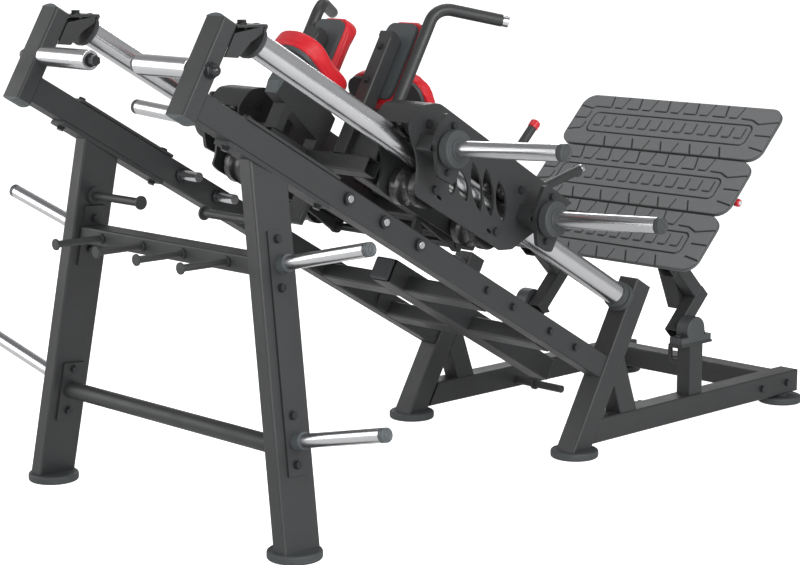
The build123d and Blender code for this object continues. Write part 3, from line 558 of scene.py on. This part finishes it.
def stitch_groove(thing, height, deep=0.0018, half=0.003):
    """Presses a seam into the side of a cushion at a height above its back."""
    mesh = thing.data
    co = coordinates(mesh)
    no = np.empty(len(mesh.vertices) * 3)
    mesh.vertex_normals.foreach_get("vector", no)
    no = no.reshape(-1, 3)
    near = np.exp(-((co[:, 2] - height) / half) ** 2) * (np.abs(no[:, 2]) < 0.5)
    co -= no * (deep * near)[:, None]
    mesh.vertices.foreach_set("co", co.ravel())
    mesh.update()


def cushion(name, node, frame_axes, outline, thick, body="sled"):
    """Builds a cushion in its own axes, puffs it and sets it in place of a CAD node."""
    points, faces = foam_block(outline, thick - 0.004)
    mesh = bpy.data.meshes.new(name)
    mesh.from_pydata([tuple(p) for p in points], [], faces)
    thing = bpy.data.objects.new(name, mesh)
    bpy.context.collection.objects.link(thing)
    puff(thing, cap=0.005)
    subdivide = thing.modifiers.new("smooth", "SUBSURF")
    subdivide.levels = subdivide.render_levels = 1
    bpy.ops.object.modifier_apply(modifier=subdivide.name)
    stitch_groove(thing, 0.011)
    mesh = thing.data
    for face in mesh.polygons:
        face.use_smooth = True
    mesh.materials.clear()
    mesh.materials.append(MATERIALS["upholstery"])
    mesh.transform(frame_axes)
    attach(thing, body)
    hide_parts(node)
    return thing


def pad_axes(node, x_way, y_way, thick):
    """Matrix that sets a cushion's back middle where the CAD node's back middle is."""
    low, high = (Vector(c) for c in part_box(node))
    z_way = x_way.cross(y_way)
    back = (low + high) / 2 - z_way * (thick / 2)
    matrix = Matrix((x_way, y_way, z_way)).transposed().to_4x4()
    matrix.translation = back
    return matrix


def tilted(degrees):
    """Direction that falls towards the foot plate by an angle from level."""
    angle = math.radians(degrees)
    return Vector((math.cos(angle), 0, -math.sin(angle)))


ACROSS = Vector((0, 1, 0))
BACK_PADS = (  # name, node, fall in degrees, length, width, corner radii, thickness
    ("headrest_cushion", "headrest_pad", 48, 0.243, 0.182, (0.078, 0.060, 0.060, 0.078), 0.062),
    ("backrest_cushion", "backrest_pad", 66.6, 0.404, 0.328, (0.070, 0.045, 0.045, 0.070), 0.046),
    ("seat_cushion", "seat_pad", 30, 0.368, 0.328, (0.034, 0.034, 0.034, 0.034), 0.052),
)
SHOULDER_SIZE, SHOULDER_CORNERS, SHOULDER_THICK = (0.132, 0.268), (0.030, 0.030, 0.034, 0.034), 0.055


def make_cushions():
    for side in ("left", "right"):
        node = f"shoulder_pad_{side}"
        outline = rounded_outline(*SHOULDER_SIZE, SHOULDER_CORNERS)
        axes = pad_axes(node, ACROSS, OFF_RAIL, SHOULDER_THICK)
        cushion(f"shoulder_cushion_{side}", node, axes, outline, SHOULDER_THICK)
    for name, node, fall, long, wide, corners, thick in BACK_PADS:
        axes = pad_axes(node, tilted(fall), ACROSS, thick)
        cushion(name, node, axes, rounded_outline(long, wide, corners), thick)


# ---------------------------------------------------------------- adjuster knob
def turned_piece(name, profile, start, way, material, body, sides=48, flutes=0, flute_deep=0.0):
    """Solid of revolution about a line: profile is (distance along, radius) pairs, closed at both ends."""
    z_way = Vector(way).normalized()
    x_way = z_way.orthogonal().normalized()
    y_way = z_way.cross(x_way)
    fluted = 0.6 * max(radius for _, radius in profile)  # radius beyond which the flutes are cut
    points, faces = [], []
    for along, radius in profile:
        for k in range(sides):
            angle = 2 * math.pi * k / sides
            cut = flute_deep * (0.5 + 0.5 * math.cos(flutes * angle)) if flutes and radius > fluted else 0
            spoke = x_way * math.cos(angle) + y_way * math.sin(angle)
            points.append(Vector(start) + z_way * along + spoke * (radius - cut))
    for level in range(len(profile) - 1):
        for k in range(sides):
            a, b = level * sides + k, level * sides + (k + 1) % sides
            faces.append((a, b, b + sides, a + sides))
    faces.append(tuple(reversed(range(sides))))
    faces.append(tuple((len(profile) - 1) * sides + k for k in range(sides)))
    return piece_from(name, points, faces, material, body)


def make_pull_pin():
    low, high = (Vector(c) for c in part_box("pull_pin"))
    middle = (low + high) / 2
    root = Vector((middle.x, high.y, middle.z))
    out = Vector((0, -1, 0))
    pin = [(0, 0.005), (0.002, 0.0069), (0.080, 0.0069), (0.082, 0.006)]
    stem = turned_piece("pull_pin_stem", pin, root, out, "chrome", "adjuster_pin")
    knob = [(0.082, 0.008), (0.083, 0.010), (0.089, 0.0125), (0.097, 0.0138), (0.104, 0.0138)]
    knob += [(0.1075, 0.012), (0.109, 0.0095), (0.109, 0.008)]
    grip = turned_piece("pull_pin_grip", knob, root, out, "red_plastic", "adjuster_pin", 72, 9, 0.0012)
    face = [(0.109, 0.0075), (0.1095, 0.0078), (0.1096, 0.006)]
    badge = turned_piece("pull_pin_face", face, root, out, "pale_plastic", "adjuster_pin")
    for piece in (stem, grip, badge):
        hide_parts("pull_pin")


# ---------------------------------------------------------------- faces of the horn caps
HORN_ROOT_Y, HORN_RISE, HORN_TILT = 0.513, 0.300, math.radians(3.5)
HORN_TIP = 0.038 + 0.360 + 0.019  # hub, bar and cap, from the flange outwards
STORE_TIP, STORE_TILT = 0.358, math.radians(13)
STORE_ROOTS = (("high", -1.06605, 0.439, 0.766), ("low", -1.09305, 0.525, 0.307))


def make_cap_faces():
    """A raised rim and a small centre boss on the end cap of each weight horn and storage horn."""
    rim = [(-0.002, 0.0195), (0.0006, 0.0195), (0.0014, 0.0188), (0.0014, 0.0160), (0.0002, 0.0148)]
    rim += [(0.0002, 0.0050), (0.0010, 0.0042), (0.0010, 0.0022), (-0.0004, 0.0016)]
    small = [(along, radius * 0.8) for along, radius in rim]
    for side, hand in ((1, "left"), (-1, "right")):
        for along, end in ((0.805, "head"), (1.278, "foot")):
            way = Vector((0, side * math.cos(HORN_TILT), 0)) + OFF_RAIL * math.sin(HORN_TILT)
            root = RAIL_START + DOWN_RAIL * along + OFF_RAIL * HORN_RISE + Vector((0, side * HORN_ROOT_Y, 0))
            turned_piece(f"horn_cap_face_{end}_{hand}", rim, root + way * HORN_TIP, way, "rubber", "sled")
        way = Vector((0, side * math.cos(STORE_TILT), math.sin(STORE_TILT)))
        for level, x, y, z in STORE_ROOTS:
            tip = Vector((x, side * y, z)) + way * STORE_TIP
            turned_piece(f"storage_cap_face_{level}_{hand}", small, tip, way, "plastic", "frame")


make_camera()
make_floor()
make_lights()
make_world()
dress_frame()
make_slats()
make_cushions()
make_pull_pin()
make_cap_faces()
